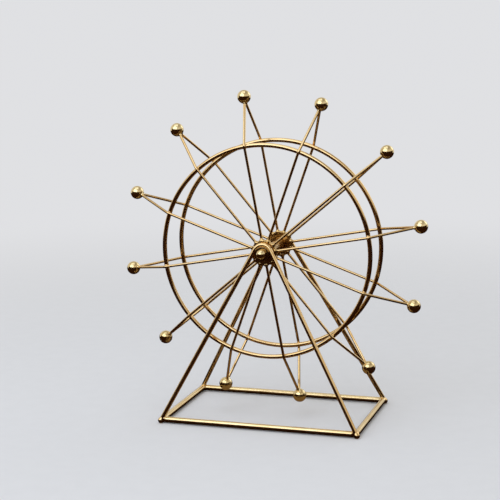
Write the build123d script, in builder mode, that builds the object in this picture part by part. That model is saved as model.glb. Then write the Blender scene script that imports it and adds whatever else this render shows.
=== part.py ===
from build123d import *
import os
from math import asin, atan2, cos, degrees, hypot, pi, radians, sin, sqrt, tan

# Wire Ferris wheel ornament: a wheel of bent spokes and balls that turns on an axle
# between two bent wire legs, on a rod base. Millimetres and degrees, +Z up, +Y away from
# the front. The origin is on the floor, under the middle of the axle.

# Wheel
ball_count = 12
wheel_turn = 10.0  # the first ball stands this far above +X when the wheel is at rest
ball_circle_radius = 104.0
ball_diameter = 9.2
ring_radius = 72.0
ring_wire = 3.0
spoke_wire = 1.8
spoke_plane = 18.4  # front and rear spokes lie this far from the wheel's middle plane
spoke_tip_depth = 1.0  # the tips of a pair of spokes stand this deep in their ball
spoke_tip_spread = 0.95  # half the distance between the two tips
bend_rounds = 20  # for the place of the bend, which is steady after far fewer

# Hub
barrel_radius = 3.8
barrel_half_length = 20.0
flange_radius = 8.8
flange_thickness = 2.6
flange_hole_depth = 2.4

# Axle, with its bushes and nuts
axle_height = 116.5
axle_diameter = 3.0
axle_clearance = 0.05  # radial, between the axle and the turning barrel
axle_half_length = 26.6
bush_radius = 4.9
bush_thickness = 3.4
bush_gap = 0.25  # end play between a bush and the barrel
nut_diameter = 6.6
nut_seat_depth = 1.75  # from the nut's centre to its flat seat on the bush

# Stand
leg_wire = 3.0
leg_loop_radius = 6.0  # wire centre line, round the axle
leg_plane_at_axle = 22.6  # distance of the leg's wire from the middle plane up there
foot_half_width = 68.6
foot_half_depth = 41.5
foot_bead_diameter = 4.0
foot_height = 1.85  # a bead's centre above the floor: less than its radius, so it has a flat
base_rod = 4.0
base_rod_height = 2.46  # rod centre: the rod clears the floor by about half a millimetre
base_bend_radius = 3.6
base_inset = 0.9  # the rods' centre lines pass this far inside the feet

# Wires, balls and flanges are many-sided, to keep the mesh of the model light
wire_sides = 8
spoke_sides = 6
ball_sides = 12
bead_sides = 8
flange_sides = 24

os.makedirs("parts", exist_ok=True)
ball_radius = ball_diameter / 2
ball_pitch = 360 / ball_count
ball_angles = [wheel_turn + ball_pitch * number for number in range(ball_count)]
axle_centre = Vector(0, 0, axle_height)


def save(piece, name):
    """Labels a finished piece and writes it to its own file."""
    piece.part.label = name
    export_step(piece.part, f"parts/{name}.step")


def many_sided_radius(diameter, sides):
    """Corner radius of the regular section that has the round one's area."""
    return diameter / 2 * sqrt(2 * pi / (sides * sin(2 * pi / sides)))


def wheel_plane(y):
    """The plane across the wheel at a distance y behind its middle, facing +Y."""
    return Plane(origin=(0, y, axle_height), x_dir=(1, 0, 0), z_dir=(0, 1, 0))


def radial_plane(angle):
    """The plane through the axle at an angle above +X: x runs outwards, y runs along +Y."""
    outwards = Vector(cos(radians(angle)), 0, sin(radians(angle)))
    return Plane(origin=axle_centre, x_dir=outwards, z_dir=outwards.cross(Vector(0, 1, 0)))


def wire_section_plane(path, across):
    """The plane across the start of a wire's path, with its x along the direction across."""
    return Plane(origin=path.line @ 0, x_dir=across, z_dir=path.line % 0)


def make_ball(diameter, sides):
    """A many-sided ball about the origin, with small flats at its poles on the Z axis.

    Its bands of facets are as wide as its sides, and stack up from a belt on the equator.
    """
    radius = many_sided_radius(diameter, sides)
    step = 2 * pi / sides
    with BuildPart() as ball:
        with BuildSketch():
            RegularPolygon(radius * cos(step / 2), sides)
        extrude(amount=radius * sin(step / 2), both=True)
        for band in range(1, sides // 4):
            low, high = step * (band - 0.5), step * (band + 0.5)
            rise = radius * (sin(high) - sin(low))
            inset = radius * (cos(low) - cos(high)) * cos(pi / sides)
            with BuildSketch(Plane.XY.offset(radius * sin(low))):
                RegularPolygon(radius * cos(low), sides)
            extrude(amount=rise, taper=degrees(atan2(inset, rise)))
        mirror(about=Plane.XY)
    return ball.part


# Base: one rod bent into a rectangle
base_half_width = foot_half_width - base_inset
base_half_depth = foot_half_depth - base_inset

with BuildPart() as base_frame:
    with BuildLine(Plane.XY.offset(base_rod_height)) as base_path:
        FilletPolyline(
            (-base_half_width, -base_half_depth),
            (base_half_width, -base_half_depth),
            (base_half_width, base_half_depth),
            (-base_half_width, base_half_depth),
            radius=base_bend_radius,
            close=True,
        )
    with BuildSketch(wire_section_plane(base_path, (0, 0, 1))):
        RegularPolygon(many_sided_radius(base_rod, wire_sides), wire_sides, rotation=180 / wire_sides)
    sweep()
save(base_frame, "base_frame")


# Legs: each wire runs up from a foot, over the axle in a tight loop, and down again. Its
# plane leans in towards the wheel at the top.
leg_rise = axle_height - foot_height
leg_lean = foot_half_depth - leg_plane_at_axle
leg_length = hypot(leg_rise, leg_lean)
half_angle = atan2(foot_half_width, leg_length) - asin(
    leg_loop_radius / hypot(foot_half_width, leg_length)
)
apex_height = leg_loop_radius / sin(half_angle)
foot_bead = make_ball(foot_bead_diameter, bead_sides)


def make_leg(side):
    """side is -1 for the front leg and 1 for the rear one."""
    top = Vector(0, side * leg_plane_at_axle, axle_height)
    upwards = Vector(0, -side * leg_lean, leg_rise)
    leg_plane = Plane(origin=top, x_dir=(1, 0, 0), z_dir=Vector(1, 0, 0).cross(upwards))
    with BuildPart() as leg:
        with BuildLine(leg_plane) as leg_path:
            FilletPolyline(
                (-foot_half_width, -leg_length),
                (0, apex_height),
                (foot_half_width, -leg_length),
                radius=leg_loop_radius,
            )
        with BuildSketch(wire_section_plane(leg_path, leg_plane.z_dir)):
            RegularPolygon(many_sided_radius(leg_wire, wire_sides), wire_sides)
        sweep()
        feet = [(x, side * foot_half_depth, foot_height) for x in (-foot_half_width, foot_half_width)]
        with Locations(*feet):
            add(foot_bead)
        split(bisect_by=Plane.XY, keep=Keep.TOP)
        add(base_frame.part, mode=Mode.SUBTRACT)
    return leg


front_leg = make_leg(-1)
rear_leg = make_leg(1)
save(front_leg, "front_leg")
save(rear_leg, "rear_leg")


# Bushes: collars held in the legs' loops, each with the loop's wire let into its edge
bush_inner_face = barrel_half_length + bush_gap
bush_outer_face = bush_inner_face + bush_thickness


def make_bush(side, leg):
    with BuildPart() as bush:
        with BuildSketch(wheel_plane(side * bush_inner_face)):
            Circle(bush_radius)
            Circle(axle_diameter / 2, mode=Mode.SUBTRACT)
        extrude(amount=side * bush_thickness)
        add(leg.part, mode=Mode.SUBTRACT)
    return bush


front_bush = make_bush(-1, front_leg)
rear_bush = make_bush(1, rear_leg)
save(front_bush, "front_bush")
save(rear_bush, "rear_bush")


# Axle: a plain rod, fixed in the bushes, with a ball nut on each end
with BuildPart() as axle:
    with BuildSketch(wheel_plane(0)):
        Circle(axle_diameter / 2)
    extrude(amount=axle_half_length, both=True)
save(axle, "axle")

nut_centre = bush_outer_face + nut_seat_depth
nut_ball = make_ball(nut_diameter, ball_sides)


def make_nut(side):
    with BuildPart() as nut:
        with Locations(wheel_plane(side * nut_centre)):
            add(nut_ball)
        split(bisect_by=wheel_plane(side * bush_outer_face), keep=Keep.TOP if side > 0 else Keep.BOTTOM)
        add(axle.part, mode=Mode.SUBTRACT)
    return nut


front_ball_nut = make_nut(-1)
rear_ball_nut = make_nut(1)
save(front_ball_nut, "front_ball_nut")
save(rear_ball_nut, "rear_ball_nut")


# Hub barrel: the sleeve that turns on the axle
with BuildPart() as hub_barrel:
    with BuildSketch(wheel_plane(0)):
        Circle(barrel_radius)
        Circle(axle_diameter / 2 + axle_clearance, mode=Mode.SUBTRACT)
    extrude(amount=barrel_half_length, both=True)
save(hub_barrel, "hub_barrel")


# Rings: each wire lies against the inner side of its spokes. The spokes bend round it, so
# their bend has the ring's wire at its centre.
ring_section = many_sided_radius(ring_wire, wire_sides)
spoke_section = many_sided_radius(spoke_wire, spoke_sides)
spoke_bend_radius = ring_section + spoke_section * cos(pi / spoke_sides)
ring_plane = spoke_plane - spoke_bend_radius

for side, place in ((-1, "front"), (1, "rear")):
    with BuildPart() as ring:
        with BuildSketch(radial_plane(0)):
            with Locations((ring_radius, side * ring_plane)):
                RegularPolygon(ring_section, wire_sides)
        revolve(axis=Axis(axle_centre, (0, 1, 0)))
    save(ring, f"{place}_ring")


# Spokes: straight out of the flange, bent over the ring, straight in to the ball
spoke_start = flange_radius - flange_hole_depth
spoke_tip = ball_circle_radius - ball_radius + spoke_tip_depth


def bend_corner():
    """Where a spoke's two straight runs would meet, for its bend to be centred on the ring.

    The corner depends on the outer run's slope and the slope on the corner, so each is worked
    out from the other until both are steady.
    """
    corner = ring_radius
    for _ in range(bend_rounds):
        slope = atan2(spoke_plane - spoke_tip_spread, spoke_tip - corner)
        corner = ring_radius + spoke_bend_radius * tan(slope / 2)
    return corner


spoke_corner = bend_corner()


def make_spoke(angle, side):
    with BuildPart() as spoke:
        with BuildLine(radial_plane(angle)) as run:
            FilletPolyline(
                (spoke_start, side * spoke_plane),
                (spoke_corner, side * spoke_plane),
                (spoke_tip, side * spoke_tip_spread),
                radius=spoke_bend_radius,
            )
        with BuildSketch(wire_section_plane(run, (0, 1, 0))):
            RegularPolygon(spoke_section, spoke_sides, rotation=180 / spoke_sides)
        sweep()
    return spoke


rim_ball = make_ball(ball_diameter, ball_sides)
spokes = {-1: [], 1: []}
for number, angle in enumerate(ball_angles, start=1):
    for side, place in ((-1, "front"), (1, "rear")):
        spoke = make_spoke(angle, side)
        save(spoke, f"{place}_spoke_{number:02d}")
        spokes[side].append(spoke.part)

    # Each ball has two shallow seats for the tips of its spokes
    with BuildPart() as ball:
        outwards = radial_plane(angle).x_dir
        with Locations(Plane(axle_centre + outwards * ball_circle_radius, (0, 1, 0), outwards)):
            add(rim_ball)
        add([spokes[-1][-1], spokes[1][-1]], mode=Mode.SUBTRACT)
    save(ball, f"rim_ball_{number:02d}")


# Hub flanges: discs on the barrel, with a radial hole for each spoke in a flat of the edge.
# Angles in their plane count downwards from +X, against the wheel's turn.
flange_rotation = 180 / flange_sides - wheel_turn
for side, place in ((-1, "front"), (1, "rear")):
    with BuildPart() as flange:
        with BuildSketch(wheel_plane(side * spoke_plane)):
            RegularPolygon(flange_radius, flange_sides, major_radius=False, rotation=flange_rotation)
            Circle(barrel_radius, mode=Mode.SUBTRACT)
        extrude(amount=flange_thickness / 2, both=True)
        add(spokes[side], mode=Mode.SUBTRACT)
    save(flange, f"{place}_hub_flange")

print(f"leg half angle {degrees(half_angle):.2f} degrees, spoke bend radius {spoke_bend_radius:.2f} mm")
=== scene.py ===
from math import asin, atan2, ceil, cos, hypot, pi, radians, sin, tan

import bmesh
import bpy
import numpy as np
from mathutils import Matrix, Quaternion, Vector


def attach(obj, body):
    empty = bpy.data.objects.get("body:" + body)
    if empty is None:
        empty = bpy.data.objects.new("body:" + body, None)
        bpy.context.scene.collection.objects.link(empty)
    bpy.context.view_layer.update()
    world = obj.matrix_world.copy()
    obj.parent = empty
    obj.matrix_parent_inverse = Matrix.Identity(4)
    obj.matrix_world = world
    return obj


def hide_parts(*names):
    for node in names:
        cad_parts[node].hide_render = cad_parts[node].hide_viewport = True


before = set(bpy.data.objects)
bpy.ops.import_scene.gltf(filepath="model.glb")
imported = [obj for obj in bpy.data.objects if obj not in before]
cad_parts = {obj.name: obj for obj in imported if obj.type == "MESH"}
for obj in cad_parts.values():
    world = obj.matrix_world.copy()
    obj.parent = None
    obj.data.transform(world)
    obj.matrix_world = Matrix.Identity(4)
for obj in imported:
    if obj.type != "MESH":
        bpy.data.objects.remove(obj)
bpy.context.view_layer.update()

# Wire Ferris wheel ornament: the looks of a wheel of bent spokes and balls that turns on an
# axle between two bent wire legs, on a rod base. Sizes are in millimetres, as MM turns them
# into the scene's metres. +Z is up, +Y is away from the front, and the origin is on the floor,
# under the middle of the axle.
MM = 0.001

# Wheel
ball_count = 12
wheel_turn = radians(10.0)  # the first ball stands this far above +X at rest
ball_circle_radius = 104.0
ball_radius = 4.6
ring_radius = 72.0
ring_wire = 3.0
spoke_wire = 1.8
spoke_plane = 18.4
spoke_start = 6.4
spoke_tip_depth = 1.0
spoke_tip_spread = 0.95
ring_plane = spoke_plane - (ring_wire + spoke_wire) / 2  # the spokes lie on the ring

# Hub and axle
axle_height = 116.5
barrel_radius = 3.8
barrel_half_length = 20.0
flange_radius = 8.8
flange_thickness = 2.6
bush_radius = 4.9
bush_inner_face = 20.25
bush_outer_face = 23.65
nut_radius = 3.3
nut_centre = 25.4
bore_radius = 1.55
barrel_edge = 0.3
bush_edge = 0.4
flange_edge = 0.8
flange_inset = 0.1  # a flange starts this far inside the barrel

# Stand
leg_wire = 3.0
leg_loop_radius = 6.0
leg_plane_at_axle = 22.6
foot_half_width = 68.6
foot_half_depth = 41.5
foot_height = 1.85
foot_bead_radius = 2.0
base_rod = 4.0
base_rod_height = 2.46
base_bend_radius = 3.6
base_half_width = 67.7
base_half_depth = 40.6

# Welds: fillets, lumps, and how far each skin reaches
foot_fillet, foot_lumps, foot_reach = 0.9, 0.06, 5.0
ring_fillets, ring_lumps, ring_reach = (0.8, 1.2), 0.05, 1.6
flange_fillets, flange_lumps, flange_reach = (1.2, 2.0), 0.12, 2.2
ball_fillet, ball_reach = 1.0, 2.6
flange_stray = 0.35  # a flange's welds stand up to this far off its middle plane
drop_radius, drop_distance, drop_rise = 1.0, 2.4, 1.3  # the drops of braze at a foot

# Meshes
arc_step = radians(5.0)
wire_sides = 32
spoke_sides = 24
turned_sides = 96
ball_sides = 64
ring_steps = 240
bead_rows = 24
sharp_angle = radians(40.0)
weld_steps = 40
weld_inset = 0.02  # a weld's skin sinks this far into the wires that it joins

axle_centre = Vector((0, 0, axle_height))
axle_direction = Vector((0, 1, 0))


# ---------------------------------------------------------------- shapes
# A shape is (points, faces, grain, heat): grain holds each point's place across (x, y) and
# along (z) the fine lines of its finish, and heat is 1 where a weld has dulled the metal.


def rounded_path(corners, radius, closed=False):
    """Points along straight runs joined by arcs of one radius."""
    corners = [Vector(c).to_3d() for c in corners]
    count = len(corners)
    points = [] if closed else [corners[0]]
    for i in range(0 if closed else 1, count if closed else count - 1):
        corner = corners[i]
        back = (corners[i - 1] - corner).normalized()
        ahead = (corners[(i + 1) % count] - corner).normalized()
        turn = pi - back.angle(ahead)
        centre = corner + (back + ahead).normalized() * radius / cos(turn / 2)
        first = corner + back * radius * tan(turn / 2) - centre
        last = corner + ahead * radius * tan(turn / 2) - centre
        steps = max(2, ceil(turn / arc_step))
        for s in range(steps + 1):
            share = s / steps
            spoke = first * sin((1 - share) * turn) + last * sin(share * turn)
            points.append(centre + spoke / sin(turn))
    if not closed:
        points.append(corners[-1])
    return points


def tube(path, radius, across, closed=False, sides=wire_sides):
    """A round wire along a flat path. across is square to the plane of the path."""
    across = Vector(across).normalized()
    count = len(path)
    points, grain, faces = [], [], []
    length = 0.0
    for i, centre in enumerate(path):
        before = path[i - 1] if closed or i else centre
        after = path[(i + 1) % count] if closed or i < count - 1 else centre
        tangent = (after - before).normalized()
        outwards = tangent.cross(across)
        length += (centre - before).length if i else 0.0
        for s in range(sides):
            turn = 2 * pi * s / sides
            points.append(centre + (outwards * cos(turn) + across * sin(turn)) * radius)
            grain.append((radius * cos(turn), radius * sin(turn), length))
    for i in range(count if closed else count - 1):
        low, high = i * sides, (i + 1) % count * sides
        for s in range(sides):
            t = (s + 1) % sides
            faces.append((low + s, low + t, high + t, high + s))
    if not closed:
        faces.append(tuple(range(sides))[::-1])
        faces.append(tuple(range((count - 1) * sides, count * sides)))
    return points, faces, grain, [0.0] * len(points)


def turned(profile, centre, direction, sides=turned_sides):
    """A profile of (radius, height) points, from pole to pole or closed, turned about an axis."""
    direction = Vector(direction).normalized()
    side = direction.orthogonal().normalized()
    up = direction.cross(side)
    closed = profile[0][0] > 0
    points, grain, faces, rows = [], [], [], []
    for radius, height in profile:
        rows.append(len(points))
        for s in range(sides if radius > 0 else 1):
            turn = 2 * pi * s / sides
            outwards = side * cos(turn) + up * sin(turn)
            points.append(centre + direction * height + outwards * radius)
            grain.append((radius, height, 0.0))
    for i in range(len(rows) if closed else len(rows) - 1):
        low, high = rows[i], rows[(i + 1) % len(rows)]
        one_low = profile[i][0] == 0
        one_high = profile[(i + 1) % len(rows)][0] == 0
        for s in range(sides):
            t = (s + 1) % sides
            if one_low:
                faces.append((low, high + t, high + s))
            elif one_high:
                faces.append((low + s, low + t, high))
            else:
                faces.append((low + s, low + t, high + t, high + s))
    return points, faces, grain, [0.0] * len(points)


def weld(centre, distance, reach, detail=4):
    """A blob of braze round a point inside the metal: the skin of a smoothly joined solid.

    distance gives how far points are outside that solid. Past reach the blob ends, hidden
    inside the wires.
    """
    sphere = bmesh.new()
    bmesh.ops.create_icosphere(sphere, subdivisions=detail, radius=1.0)
    rays = np.array([v.co for v in sphere.verts])
    faces = [tuple(v.index for v in f.verts) for f in sphere.faces]
    sphere.free()
    centre = np.array(centre)
    far = np.full(len(rays), reach)
    found = np.zeros(len(rays), bool)
    steps = np.linspace(0, reach, weld_steps + 1)
    inside = distance(centre + rays * 0) + weld_inset
    for near, further in zip(steps, steps[1:]):
        outside = distance(centre + rays * further) + weld_inset
        crossing = ~found & (outside > 0)
        share = inside / np.where(inside == outside, 1, inside - outside)
        far[crossing] = (near + (further - near) * share)[crossing]
        found |= crossing
        inside = outside
    points = centre + rays * far[:, None]
    return [Vector(p) for p in points], faces, [tuple(p) for p in points], [1.0] * len(points)


# ---------------------------------------------------------------- distances, for the welds


def from_segment(p, start, end, radius):
    """From a straight wire with round ends."""
    start, end = np.array(start), np.array(end)
    run = end - start
    share = np.clip((p - start) @ run / (run @ run), 0, 1)
    return np.linalg.norm(p - start - share[:, None] * run, axis=1) - radius


def from_ball(p, centre, radius):
    return np.linalg.norm(p - np.array(centre), axis=1) - radius


def from_ring(p, y, radius, wire_radius):
    """From a wire ring about the axle."""
    out = np.hypot(p[:, 0], p[:, 2] - axle_height) - radius
    return np.hypot(out, p[:, 1] - y) - wire_radius


def from_disc(p, y, radius, half_thickness, edge):
    """From a disc about the axle with a rounded edge."""
    out = np.hypot(p[:, 0], p[:, 2] - axle_height) - radius + edge
    high = np.abs(p[:, 1] - y) - half_thickness + edge
    corner = np.hypot(np.maximum(out, 0), np.maximum(high, 0))
    return corner + np.minimum(np.maximum(out, high), 0) - edge


def from_base(p):
    """From the rod of the base, a rounded rectangle."""
    x = np.abs(p[:, 0]) - base_half_width + base_bend_radius
    y = np.abs(p[:, 1]) - base_half_depth + base_bend_radius
    flat = np.hypot(np.maximum(x, 0), np.maximum(y, 0)) + np.minimum(np.maximum(x, y), 0)
    return np.hypot(flat - base_bend_radius, p[:, 2] - base_rod_height) - base_rod / 2


def lumps(p, size, start):
    """The small rises and hollows of a braze that set by itself. start sets their places."""
    long_wave, short_wave = 2.9, 4.3  # radians per millimetre
    waves = np.sin(p * long_wave + start) + np.sin(p[:, [1, 2, 0]] * short_wave + 2.0 * start)
    return waves.sum(axis=1) * size / 6


def joined(distances, blend):
    """The distance from several solids with fillets of about the size of blend between them."""
    result = distances[0]
    for other in distances[1:]:
        near = np.maximum(blend - np.abs(result - other), 0) / blend
        result = np.minimum(result, other) - near * near * blend / 4
    return result


# ---------------------------------------------------------------- pieces


def make_mesh(name, shapes):
    """One mesh of several shapes, given in millimetres."""
    points, faces, grain, heat = [], [], [], []
    for more_points, more_faces, more_grain, more_heat in shapes:
        start = len(points)
        points += more_points
        faces += [tuple(i + start for i in face) for face in more_faces]
        grain += more_grain
        heat += more_heat
    mesh = bpy.data.meshes.new(name)
    mesh.from_pydata([p * MM for p in points], [], faces)
    mesh.attributes.new("grain", "FLOAT_VECTOR", "POINT").data.foreach_set(
        "vector", np.array(grain, np.float32).ravel()
    )
    mesh.attributes.new("heat", "FLOAT", "POINT").data.foreach_set(
        "value", np.array(heat, np.float32)
    )
    tidy = bmesh.new()
    tidy.from_mesh(mesh)
    bmesh.ops.recalc_face_normals(tidy, faces=tidy.faces)
    for face in tidy.faces:
        face.smooth = True
    for edge in tidy.edges:
        edge.smooth = len(edge.link_faces) == 2 and edge.calc_face_angle() < sharp_angle
    tidy.to_mesh(mesh)
    tidy.free()
    return mesh


def make_piece(name, shapes, material, body, slot, *nodes):
    """A piece that rides on a body and stands for its CAD nodes."""
    mesh = make_mesh(name, shapes)
    mesh.materials.append(material)
    piece = bpy.data.objects.new(name, mesh)
    bpy.context.scene.collection.objects.link(piece)
    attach(piece, body)
    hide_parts(*nodes)


# ---------------------------------------------------------------- materials


def add_node(tree, kind, values=None, **settings):
    node = tree.nodes.new(kind)
    for name, value in settings.items():
        setattr(node, name, value)
    for name, value in (values or {}).items():
        if isinstance(value, bpy.types.NodeSocket):
            tree.links.new(value, node.inputs[name])
        else:
            node.inputs[name].default_value = value
    return node


def noise(tree, vector, scale, detail=3.0, roughness=0.5):
    return add_node(
        tree, "ShaderNodeTexNoise",
        {"Vector": vector, "Scale": scale, "Detail": detail, "Roughness": roughness},
    ).outputs["Fac"]


def ramp(tree, value, low, high, start=0.0, end=1.0):
    """value from low to high becomes a smooth rise from start to end."""
    return add_node(
        tree, "ShaderNodeMapRange",
        {"Value": value, "From Min": low, "From Max": high, "To Min": start, "To Max": end},
        interpolation_type="SMOOTHSTEP",
    ).outputs["Result"]


def blend_colour(tree, share, first, second):
    node = tree.nodes.new("ShaderNodeMix")
    node.data_type = "RGBA"
    tree.links.new(share, node.inputs["Factor"])
    for socket, colour in ((node.inputs[6], first), (node.inputs[7], second)):
        if isinstance(colour, bpy.types.NodeSocket):
            tree.links.new(colour, socket)
        else:
            socket.default_value = (*colour, 1.0)
    return node.outputs[2]


def calculate(tree, operation, first, second):
    node = tree.nodes.new("ShaderNodeMath")
    node.operation = operation
    for socket, value in zip(node.inputs, (first, second)):
        if isinstance(value, bpy.types.NodeSocket):
            tree.links.new(value, socket)
        else:
            socket.default_value = value
    return node.outputs[0]


speck_brown = (0.25, 0.14, 0.05)
scorch_brown = (0.50, 0.31, 0.11)


def make_gold(name, pale, deep, roughness, line_depth, line_stretch):
    """Plated metal: its tint drifts, fine lines run along its grain, and its welds are dull."""
    material = bpy.data.materials.new(name)
    material.use_nodes = True
    tree = material.node_tree
    shader = tree.nodes["Principled BSDF"]
    place = add_node(tree, "ShaderNodeTexCoord").outputs["Object"]
    grain = add_node(tree, "ShaderNodeAttribute", attribute_name="grain").outputs["Vector"]
    heat = add_node(tree, "ShaderNodeAttribute", attribute_name="heat").outputs["Fac"]
    lines = add_node(
        tree, "ShaderNodeVectorMath",
        {0: grain, 1: (1.0, 1.0, line_stretch)}, operation="MULTIPLY",
    ).outputs["Vector"]

    drift = ramp(tree, noise(tree, place, 45.0), 0.35, 0.65)
    specks = ramp(tree, noise(tree, place, 1400.0, 2.0), 0.66, 0.74)
    line_noise = noise(tree, lines, 9.0, 4.0, 0.6)
    patches = ramp(tree, noise(tree, place, 500.0), 0.3, 0.7, 0.35, 0.9)
    scorch = calculate(tree, "MULTIPLY", heat, patches)

    tint = blend_colour(tree, drift, pale, deep)
    tint = blend_colour(tree, ramp(tree, line_noise, 0.3, 0.7, 0.0, 0.35), tint, deep)
    tint = blend_colour(tree, calculate(tree, "MULTIPLY", specks, 0.5), tint, speck_brown)
    tint = blend_colour(tree, scorch, tint, scorch_brown)
    tree.links.new(tint, shader.inputs["Base Color"])

    dull = ramp(tree, noise(tree, place, 160.0, 4.0), 0.3, 0.7, roughness * 0.75, roughness * 1.35)
    dull = calculate(tree, "ADD", dull, calculate(tree, "MULTIPLY", line_noise, 0.06))
    dull = calculate(tree, "ADD", dull, calculate(tree, "MULTIPLY", scorch, 0.18))
    tree.links.new(dull, shader.inputs["Roughness"])
    shader.inputs["Metallic"].default_value = 1.0

    height = calculate(tree, "MULTIPLY", line_noise, line_depth)
    ripple = calculate(tree, "MULTIPLY", noise(tree, place, 260.0, 2.0), line_depth)
    bump = add_node(
        tree, "ShaderNodeBump",
        {"Height": calculate(tree, "ADD", height, ripple), "Distance": 1.0 * MM, "Strength": 0.5},
    ).outputs["Normal"]
    tree.links.new(bump, shader.inputs["Normal"])
    return material


wire_gold = make_gold(
    "drawn_gold_wire", pale=(0.86, 0.61, 0.29), deep=(0.76, 0.49, 0.20),
    roughness=0.09, line_depth=0.0012, line_stretch=0.02,
)
rod_gold = make_gold(
    "satin_gold_rod", pale=(0.87, 0.66, 0.34), deep=(0.79, 0.57, 0.26),
    roughness=0.11, line_depth=0.0015, line_stretch=0.02,
)
ball_gold = make_gold(
    "polished_gold_ball", pale=(0.90, 0.71, 0.37), deep=(0.82, 0.61, 0.28),
    roughness=0.08, line_depth=0.0005, line_stretch=1.0,
)
# Painted shade: the hub's gold is a darker copy of the plated gold, standing for the shade round
# the hub between the legs.
shaded_hub_gold = make_gold(
    "turned_gold_hub_painted_shade", pale=(0.70, 0.47, 0.20), deep=(0.56, 0.36, 0.13),
    roughness=0.12, line_depth=0.0012, line_stretch=1.0,
)
# Painted shade: the bushes' gold is a much darker copy of the plated gold, standing for the shade
# in the recess inside each leg's loop round the nut.
shaded_bush_gold = make_gold(
    "painted_shade_gold_bush", pale=(0.40, 0.25, 0.10), deep=(0.26, 0.15, 0.05),
    roughness=0.16, line_depth=0.0012, line_stretch=1.0,
)


# ---------------------------------------------------------------- base and legs


base_path = rounded_path(
    [
        (-base_half_width, -base_half_depth, base_rod_height),
        (base_half_width, -base_half_depth, base_rod_height),
        (base_half_width, base_half_depth, base_rod_height),
        (-base_half_width, base_half_depth, base_rod_height),
    ],
    base_bend_radius,
    closed=True,
)
make_piece(
    "base_rod", [tube(base_path, base_rod / 2, (0, 0, 1), closed=True)],
    rod_gold, "stand", "stand_wire", "base_frame",
)

leg_rise = axle_height - foot_height
leg_lean = foot_half_depth - leg_plane_at_axle
leg_length = hypot(leg_rise, leg_lean)
half_angle = atan2(foot_half_width, leg_length) - asin(
    leg_loop_radius / hypot(foot_half_width, leg_length)
)
apex_height = leg_loop_radius / sin(half_angle)


def foot_weld(foot, apex):
    """The bead at the end of a leg, joined to the base and cut off flat at the floor."""
    knee = foot + (apex - foot) * 0.2
    inwards = (Vector((-foot.x, 0, 0)).normalized(), Vector((0, -foot.y, 0)).normalized())
    drops = [foot + way * drop_distance + Vector((0, 0, drop_rise)) for way in inwards]

    def distance(p):
        solid = joined(
            [
                from_segment(p, foot, knee, leg_wire / 2),
                from_ball(p, foot, foot_bead_radius),
                from_base(p),
                *(from_ball(p, drop, drop_radius) for drop in drops),
            ],
            foot_fillet,
        )
        return np.maximum(solid + lumps(p, foot_lumps, foot.x), -p[:, 2] - weld_inset)

    return weld(foot, distance, foot_reach, detail=5)


def make_leg(side, place):
    """A leg's wire from foot to foot, looped over its bush, with a weld at each end."""
    middle = Vector((0, side * leg_plane_at_axle, axle_height))
    up = Vector((0, -side * leg_lean, leg_rise)).normalized()
    across = Vector((1, 0, 0)).cross(up)
    apex = middle + up * apex_height
    feet = [
        Vector((x, side * foot_half_depth, foot_height))
        for x in (-foot_half_width, foot_half_width)
    ]
    path = rounded_path([feet[0], apex, feet[1]], leg_loop_radius)
    shapes = [tube(path, leg_wire / 2, across), *(foot_weld(foot, apex) for foot in feet)]
    make_piece(f"leg_wire_{place}", shapes, wire_gold, "stand", "stand_wire", f"{place}_leg")


for side, place in ((-1, "front"), (1, "rear")):
    make_leg(side, place)


# ---------------------------------------------------------------- hub, bushes and nuts


def bead_profile(radius, flat_at):
    """Half a ball's profile, from a flat at a height to its far pole."""
    start = asin(flat_at / radius)
    heights = [start + (pi / 2 - start) * i / bead_rows for i in range(bead_rows)]
    ball = [(radius * cos(a), radius * sin(a)) for a in heights]
    return [(0.0, flat_at), *ball, (0.0, radius)]


def collar_profile(inner, outer, low, high, edge):
    """A closed profile with rounded edges, as (radius, height) pairs."""
    corners = [(inner, low), (outer, low), (outer, high), (inner, high)]
    path = rounded_path([(x, y, 0) for x, y in corners], edge, closed=True)
    return [(p.x, p.y) for p in path]


def make_bush(side, place):
    profile = collar_profile(
        bore_radius, bush_radius, bush_inner_face, bush_outer_face, bush_edge
    )
    shape = turned(profile, axle_centre, axle_direction * side)
    make_piece(f"bush_{place}", [shape], shaded_bush_gold, "stand", "hub", f"{place}_bush")


def make_nut(side, place):
    direction = axle_direction * side
    profile = bead_profile(nut_radius, bush_outer_face - nut_centre)
    shape = turned(profile, axle_centre + direction * nut_centre, direction)
    make_piece(f"ball_nut_{place}", [shape], ball_gold, "stand", "rim_ball", f"{place}_ball_nut")


for side, place in ((-1, "front"), (1, "rear")):
    make_bush(side, place)
    make_nut(side, place)

barrel_profile = collar_profile(
    bore_radius, barrel_radius, -barrel_half_length, barrel_half_length, barrel_edge
)
make_piece(
    "hub_sleeve", [turned(barrel_profile, axle_centre, axle_direction)],
    shaded_hub_gold, "wheel", "hub", "hub_barrel",
)


# ---------------------------------------------------------------- spokes, rings and balls


def outwards_at(angle):
    return Vector((cos(angle), 0, sin(angle)))


def wheel_point(angle, radius, y):
    """The place at a radius from the axle and a distance behind the wheel's middle plane."""
    return axle_centre + outwards_at(angle) * radius + axle_direction * y


ball_angles = [wheel_turn + 2 * pi * number / ball_count for number in range(ball_count)]
spoke_bend_radius = spoke_plane - ring_plane
spoke_tip = ball_circle_radius - ball_radius + spoke_tip_depth


def bend_corner():
    """Where a spoke's two straight runs would meet, for its bend to be centred on the ring."""
    corner = ring_radius
    for _ in range(20):
        slope = atan2(spoke_plane - spoke_tip_spread, spoke_tip - corner)
        corner = ring_radius + spoke_bend_radius * tan(slope / 2)
    return corner


spoke_corner = bend_corner()
uneven = np.random.default_rng(5)


def ring_weld(side, angle, run, fillet, start):
    """The braze where a spoke's straight run lies across its ring."""

    def distance(p):
        ring = from_ring(p, side * ring_plane, ring_radius, ring_wire / 2)
        solid = joined([ring, from_segment(p, *run, spoke_wire / 2)], fillet)
        return solid + lumps(p, ring_lumps, start)

    touch = wheel_point(angle, ring_radius, side * (ring_plane + ring_wire / 2))
    return weld(touch, distance, ring_reach)


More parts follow.
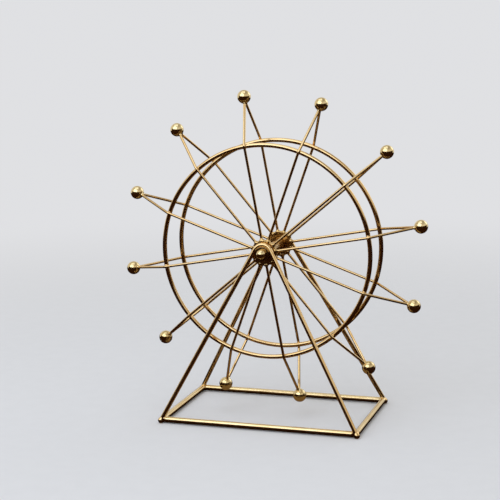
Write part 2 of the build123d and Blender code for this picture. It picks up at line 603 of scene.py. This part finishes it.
def flange_weld(side, angle, run, fillet, stray, start):
    """The braze where a spoke's straight run leaves its flange."""
    half_thickness = flange_thickness / 2

    def distance(p):
        disc = from_disc(p, side * spoke_plane, flange_radius, half_thickness, flange_edge)
        solid = joined([disc, from_segment(p, *run, spoke_wire / 2)], fillet)
        return solid + lumps(p, flange_lumps, start)

    root = wheel_point(angle, flange_radius, side * (spoke_plane + stray))
    return weld(root, distance, flange_reach)


def make_half_wheel(side, place):
    """One side's spokes, with its ring and flange, which carry the welds."""
    ring_path = [
        wheel_point(2 * pi * s / ring_steps + wheel_turn, ring_radius, side * ring_plane)
        for s in range(ring_steps)
    ]
    ring_shapes = [tube(ring_path, ring_wire / 2, axle_direction, closed=True)]
    flange_profile = collar_profile(
        barrel_radius - flange_inset, flange_radius,
        -flange_thickness / 2, flange_thickness / 2, flange_edge,
    )
    flange_centre = axle_centre + axle_direction * side * spoke_plane
    flange_shapes = [turned(flange_profile, flange_centre, axle_direction)]
    for number, angle in enumerate(ball_angles, start=1):
        corners = [
            wheel_point(angle, spoke_start, side * spoke_plane),
            wheel_point(angle, spoke_corner, side * spoke_plane),
            wheel_point(angle, spoke_tip, side * spoke_tip_spread),
        ]
        path = rounded_path(corners, spoke_bend_radius)
        across = outwards_at(angle).cross(axle_direction)
        make_piece(
            f"spoke_{place}_{number:02d}", [tube(path, spoke_wire / 2, across, sides=spoke_sides)],
            wire_gold, "wheel", "wheel_wire", f"{place}_spoke_{number:02d}",
        )
        ring_fillet = uneven.uniform(*ring_fillets)
        flange_fillet = uneven.uniform(*flange_fillets)
        stray = uneven.uniform(-flange_stray, flange_stray)
        start = uneven.uniform(0.0, 2 * pi)
        run = corners[:2]
        ring_shapes.append(ring_weld(side, angle, run, ring_fillet, start))
        flange_shapes.append(flange_weld(side, angle, run, flange_fillet, stray, start))
    make_piece(f"ring_{place}", ring_shapes, wire_gold, "wheel", "wheel_wire", f"{place}_ring")
    make_piece(f"flange_{place}", flange_shapes, shaded_hub_gold, "wheel", "hub", f"{place}_hub_flange")


for side, place in ((-1, "front"), (1, "rear")):
    make_half_wheel(side, place)

ball_profile = [
    (0.0, -ball_radius),
    *((ball_radius * cos(a), ball_radius * sin(a)) for a in np.radians(np.arange(-87, 88, 3))),
    (0.0, ball_radius),
]


def make_ball(number, angle):
    """A ball at the rim, joined to the tips of its two spokes."""
    centre = wheel_point(angle, ball_circle_radius, 0)
    runs = [
        [
            wheel_point(angle, spoke_corner, side * spoke_plane),
            wheel_point(angle, spoke_tip, side * spoke_tip_spread),
        ]
        for side in (-1, 1)
    ]

    def distance(p):
        wires = [from_segment(p, *run, spoke_wire / 2) for run in runs]
        return joined([from_ball(p, centre, ball_radius), *wires], ball_fillet)

    pole = wheel_point(angle, ball_circle_radius - ball_radius, 0)
    make_piece(
        f"rim_bead_{number:02d}",
        [
            turned(ball_profile, centre, outwards_at(angle), sides=ball_sides),
            weld(pole, distance, ball_reach),
        ],
        ball_gold, "wheel", "rim_ball", f"rim_ball_{number:02d}",
    )


for number, angle in enumerate(ball_angles, start=1):
    make_ball(number, angle)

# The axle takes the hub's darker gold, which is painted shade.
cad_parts["axle"].data.materials.clear()
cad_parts["axle"].data.materials.append(shaded_hub_gold)


# ---------------------------------------------------------------- floor, light and camera

backdrop = (0.745, 0.75, 0.77)
ceiling = (0.40, 0.39, 0.38)
plain_light = (0.60, 0.59, 0.565)
lamp_colour = (0.84, 0.97, 1.22)
floor_radius = 12.0
circle_steps = 96

floor_mesh = bpy.data.meshes.new("floor")
floor_shape = bmesh.new()
bmesh.ops.create_circle(floor_shape, cap_ends=True, radius=floor_radius, segments=circle_steps)
floor_shape.to_mesh(floor_mesh)
floor_shape.free()
floor = bpy.data.objects.new("floor", floor_mesh)
bpy.context.scene.collection.objects.link(floor)


def make_floor_material():
    """Pale matt paper, which fades into the backdrop far from the object."""
    material = bpy.data.materials.new("pale_floor")
    material.use_nodes = True
    tree = material.node_tree
    shader = tree.nodes["Principled BSDF"]
    place = add_node(tree, "ShaderNodeTexCoord").outputs["Object"]
    mottle = ramp(tree, noise(tree, place, 90.0), 0.3, 0.7)
    tint = blend_colour(tree, mottle, (0.745, 0.73, 0.71), (0.755, 0.74, 0.72))
    tree.links.new(tint, shader.inputs["Base Color"])
    shader.inputs["Roughness"].default_value = 0.9
    shader.inputs["Specular IOR Level"].default_value = 0.0
    away = add_node(tree, "ShaderNodeVectorMath", {0: place}, operation="LENGTH").outputs["Value"]
    glow = add_node(tree, "ShaderNodeEmission", {"Color": (*backdrop, 1.0)}).outputs[0]
    far = ramp(tree, away, 0.25, 0.9)
    surface = add_node(tree, "ShaderNodeMixShader", {0: far, 1: shader.outputs[0], 2: glow})
    tree.links.new(surface.outputs[0], tree.nodes["Material Output"].inputs["Surface"])
    return material


floor_mesh.materials.append(make_floor_material())

world = bpy.data.worlds.new("studio")
bpy.context.scene.world = world
world.use_nodes = True
sky = world.node_tree
# The metal and the camera see the backdrop, which darkens overhead. The rest gets plain light.
path_kind = add_node(sky, "ShaderNodeLightPath").outputs
seen = calculate(sky, "MAXIMUM", path_kind["Is Camera Ray"], path_kind["Is Glossy Ray"])
seen = calculate(sky, "MAXIMUM", seen, path_kind["Is Transmission Ray"])
direction = add_node(sky, "ShaderNodeTexCoord").outputs["Generated"]
rise = add_node(sky, "ShaderNodeSeparateXYZ", {0: direction}).outputs["Z"]
studio = blend_colour(sky, ramp(sky, rise, 0.45, 0.95), backdrop, ceiling)
sky.links.new(
    blend_colour(sky, seen, plain_light, studio), sky.nodes["Background"].inputs["Color"]
)


lamp_aim = Vector((0, 0, 0.1))


def add_softbox(name, place, width, height, radiance):
    """An area lamp of an even radiance, turned towards the object."""
    light = bpy.data.lights.new(name, "AREA")
    light.shape = "RECTANGLE"
    light.size, light.size_y = width, height
    light.energy = radiance * pi * width * height
    light.color = lamp_colour
    lamp = bpy.data.objects.new(name, light)
    bpy.context.scene.collection.objects.link(lamp)
    lamp.location = place
    lamp.rotation_euler = (lamp_aim - Vector(place)).to_track_quat("-Z", "Y").to_euler()
    lamp.visible_camera = False


add_softbox("top_softbox", (-0.25, -0.10, 1.5), 1.2, 1.2, radiance=0.95)
add_softbox("front_softbox", (-0.45, -1.20, 1.05), 1.9, 1.3, radiance=1.32)
add_softbox("rear_softbox", (0.9, 1.3, 0.9), 1.0, 0.85, radiance=1.0)


def add_card(name, points, faces, colour):
    """A matt card out of the camera's sight, which only the polished metal reflects."""
    mesh = bpy.data.meshes.new(name)
    mesh.from_pydata(points, [], faces)
    material = bpy.data.materials.new(name)
    material.use_nodes = True
    shader = material.node_tree.nodes["Principled BSDF"]
    shader.inputs["Base Color"].default_value = (*colour, 1.0)
    shader.inputs["Roughness"].default_value = 1.0
    shader.inputs["Specular IOR Level"].default_value = 0.0
    mesh.materials.append(material)
    card = bpy.data.objects.new(name, mesh)
    bpy.context.scene.collection.objects.link(card)
    card.visible_camera = False
    card.visible_diffuse = False
    card.visible_shadow = False


def add_flat_card(name, radius, height, colour):
    turns = [2 * pi * i / circle_steps for i in range(circle_steps)]
    points = [(radius * cos(t), radius * sin(t), height) for t in turns]
    add_card(name, points, [tuple(range(circle_steps))], colour)


def add_round_card(name, radius, low, high, middle, half_width, colour):
    """A card bent round the set. middle is its azimuth, from -Y towards +X."""
    steps = 48
    turns = [middle - half_width + 2 * half_width * i / steps for i in range(steps + 1)]
    points = [(radius * sin(t), -radius * cos(t), z) for z in (low, high) for t in turns]
    row = steps + 1
    add_card(name, points, [(i, i + 1, i + 1 + row, i + row) for i in range(steps)], colour)


def add_oblong_card(name, half_width, half_depth, height, colour):
    turns = ((-1, -1), (1, -1), (1, 1), (-1, 1))
    points = [(half_width * x, half_depth * y, height) for x, y in turns]
    add_card(name, points, [(0, 1, 2, 3)], colour)


dark_brown = (0.024, 0.008, 0.002)
front_card_radius = 1.2
front_card_middle = radians(18)
front_card_half_width = radians(100)

add_flat_card("floor_card", 1.3, 0.0004, dark_brown)
add_oblong_card("near_floor_card", 0.055, 0.030, 0.0006, (0.22, 0.14, 0.07))
for name, low, high, colour in (
    ("front_card", 0.0, 0.37, dark_brown),
    ("front_card_edge", 0.37, 0.42, (0.10, 0.06, 0.03)),
    ("front_card_rim", 0.42, 0.47, (0.26, 0.19, 0.12)),
):
    add_round_card(
        name, front_card_radius, low, high, front_card_middle, front_card_half_width, colour
    )

camera_azimuth = radians(18.22)
camera_elevation = radians(10.41)
camera_distance = 969.84
camera_aim = Vector((-15.95, 0, 114.46))
camera_roll = radians(-1.115)
lens_mm = 102.14
sensor_mm = 36.0

towards = Vector(
    (
        sin(camera_azimuth) * cos(camera_elevation),
        -cos(camera_azimuth) * cos(camera_elevation),
        sin(camera_elevation),
    )
)
camera_data = bpy.data.cameras.new("camera")
camera_data.lens = lens_mm
camera_data.sensor_width = sensor_mm
camera = bpy.data.objects.new("camera", camera_data)
bpy.context.scene.collection.objects.link(camera)
camera.location = (camera_aim + towards * camera_distance) * MM
camera.rotation_mode = "QUATERNION"
look = (-towards).to_track_quat("-Z", "Y")
camera.rotation_quaternion = look @ Quaternion((0, 0, 1), camera_roll)
bpy.context.scene.camera = camera

bpy.context.scene.view_settings.view_transform = "Standard"
